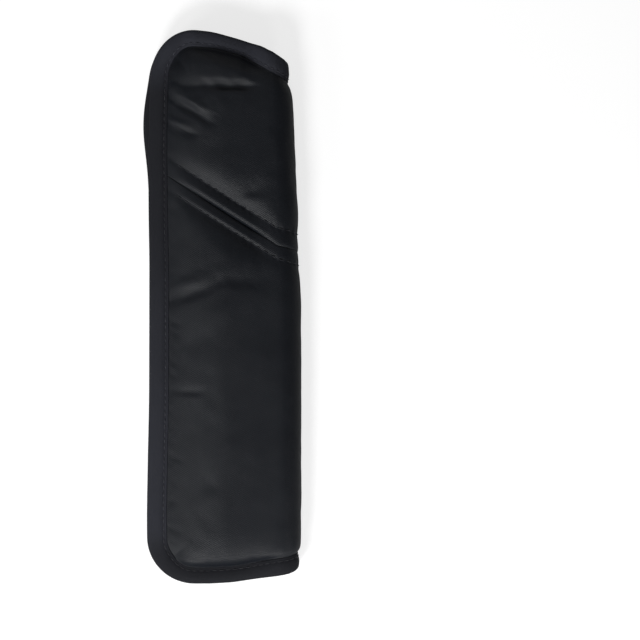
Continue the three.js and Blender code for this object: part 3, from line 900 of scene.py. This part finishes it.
def add_camera():
    middle = PICTURE_SIZE / 2
    frame_width = PICTURE_SIZE / PIXELS_PER_MM * MM
    data = bpy.data.cameras.new("camera")
    data.sensor_width = SENSOR_WIDTH
    data.lens = SENSOR_WIDTH * (CAMERA_HEIGHT - SHARP_HEIGHT) / frame_width
    camera = bpy.data.objects.new("camera", data)
    x = (middle - PAD_MIDDLE[0]) / PIXELS_PER_MM * MM
    y = (PAD_MIDDLE[1] - middle) / PIXELS_PER_MM * MM
    camera.location = (x, y, CAMERA_HEIGHT)
    bpy.context.scene.collection.objects.link(camera)
    bpy.context.scene.camera = camera


def add_light(name, place, aim, size, power):
    data = bpy.data.lights.new(name, "AREA")
    data.shape = "DISK"
    data.size = size
    data.energy = power
    lamp = bpy.data.objects.new(name, data)
    lamp.location = place
    direction = np.array(aim) - np.array(place)
    lamp.rotation_euler = (
        math.atan2(math.hypot(direction[0], direction[1]), -direction[2]), 0,
        math.atan2(-direction[0], direction[1]))
    bpy.context.scene.collection.objects.link(lamp)


# The world's even light. The floor glows white to the camera, and weakly in reflections.
WORLD_STRENGTH = 0.15
FLOOR_HALF_SIZE = 3.0
FLOOR_GREY = 0.35
CAMERA_GLOW = 0.72
REFLECTED_GLOW = 0.1


def add_floor():
    signs = ((-1, -1), (1, -1), (1, 1), (-1, 1))
    corners = [(x * FLOOR_HALF_SIZE, y * FLOOR_HALF_SIZE, 0) for x, y in signs]
    floor = make_mesh("floor", corners, [(0, 1, 2, 3)])
    shader = Shader("white_floor")
    shader.bsdf.inputs["Base Color"].default_value = (FLOOR_GREY, FLOOR_GREY, FLOOR_GREY, 1)
    shader.bsdf.inputs["Roughness"].default_value = 0.9
    shader.bsdf.inputs["Emission Color"].default_value = (1, 1, 1, 1)
    path = shader.tree.nodes.new("ShaderNodeLightPath").outputs
    reflected = shader.maths("MAXIMUM", path["Is Glossy Ray"], path["Is Transmission Ray"])
    glow = shader.maths("MULTIPLY", path["Is Camera Ray"], CAMERA_GLOW)
    glow = shader.maths("MULTIPLY_ADD", reflected, REFLECTED_GLOW, glow)
    shader.put(shader.bsdf.inputs["Emission Strength"], glow)
    floor.data.materials.append(shader.material)


def add_world(strength):
    world = bpy.data.worlds.new("studio")
    world.use_nodes = True
    world.node_tree.nodes["Background"].inputs[0].default_value = (1, 1, 1, 1)
    world.node_tree.nodes["Background"].inputs[1].default_value = strength
    bpy.context.scene.world = world


# Painted light and shade on the binding: brightness of its colour by height on the pad
BINDING_PAINTED_SHADE = (
    (-137, 0.33), (-129, 0.4), (-112, 0.82), (-60, 0.82), (-10, 0.7), (40, 0.48), (105, 0.44), (128, 1.0),
)

cover_cloth = cloth_material(
    "cover_cloth", (0.0026, 0.0034, 0.0054), (0.0052, 0.0066, 0.0096),
    pitch=1.0, slant=0.62, relief=0.032, roughness=0.46, specular=0.21)
# The binding carries painted shade towards the bottom end and painted light at the top end
binding_cloth = cloth_material(
    "binding_cloth", (0.016, 0.0172, 0.0228), (0.025, 0.0262, 0.0345),
    pitch=0.6, slant=1.0, relief=0.03, roughness=0.72, specular=0.15, painted_shade_marks=BINDING_PAINTED_SHADE)
lining_cloth = cloth_material(
    "lining_cloth", (0.009, 0.009, 0.01), (0.014, 0.014, 0.015),
    pitch=0.7, slant=1.0, relief=0.03, roughness=0.7, specular=0.2)
# The binding's thread carries the same painted shade and painted light as the binding
binding_thread = cloth_material(
    "binding_thread", (0.028, 0.03, 0.04), (0.046, 0.048, 0.062),
    pitch=0.3, slant=1.0, relief=0.03, roughness=0.5, specular=0.4, painted_shade_marks=BINDING_PAINTED_SHADE)
thread = cloth_material(
    "thread", (0.009, 0.01, 0.0135), (0.016, 0.017, 0.023),
    pitch=0.3, slant=1.0, relief=0.03, roughness=0.5, specular=0.4)

lower_cover, upper_cover = cover_pieces()
lining = lining_piece()
binding, binding_stitches = binding_piece()
upper_stitches = seam_stitches("upper_seam_stitches", UPPER_STITCHES)
lower_stitches = seam_stitches("lower_seam_stitches", LOWER_STITCHES)
for piece, material, slot in (
        (lower_cover, cover_cloth, "cover_cloth"), (upper_cover, cover_cloth, "cover_cloth"),
        (lining, lining_cloth, "lining_cloth"), (binding, binding_cloth, "binding_tape"),
        (binding_stitches, binding_thread, "binding_tape"), (upper_stitches, thread, "cover_cloth"),
        (lower_stitches, thread, "cover_cloth")):
    piece.data.materials.append(material)
    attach(piece, "root")
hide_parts("lower_cover_panel")
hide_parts("upper_cover_panel")
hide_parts("lining")
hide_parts("edge_binding")

# Nodes that stay as packed: material, two shades, cells per metre, relief in mm, roughness and stretch
for node, name, low, high, grain, relief, roughness, stretch in (
        ("foam_padding", "foam", (0.02, 0.02, 0.021), (0.06, 0.06, 0.063), 900, 0.3, 0.95, (1, 1, 1)),
        ("hook_strip", "hook_tape", (0.004, 0.004, 0.005), (0.016, 0.016, 0.018),
         1100, 0.35, 0.5, (1, 0.7, 1)),
        ("loop_strip", "loop_tape", (0.005, 0.005, 0.006), (0.02, 0.02, 0.022),
         600, 0.4, 0.9, (1, 1, 1))):
    material = solid_material(name, low, high, grain, relief, roughness, stretch)
    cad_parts[node].material_slots[0].material = material

add_camera()
add_floor()
add_world(WORLD_STRENGTH)
# Lamps: name, place, what it points at, size and power
for lamp in (
        ("key", (-0.36, -0.76, 0.76), (0, 0, 0), 0.36, 11),
        ("left_fill", (-0.7, -0.42, 0.44), (0, 0, 0), 0.3, 2.8),
        ("side_fill", (0.2, -0.32, 0.16), (0.02, -0.12, 0), 0.15, 0.56),
        ("top_fill", (-0.02, 0.4, 0.26), (0, 0.13, 0), 0.15, 0.2),
        ("edge_fill", (-0.5, -0.08, 0.1), (-0.04, -0.06, 0), 0.2, 0.15)):
    add_light(*lamp)

bpy.context.scene.view_settings.view_transform = "Standard"
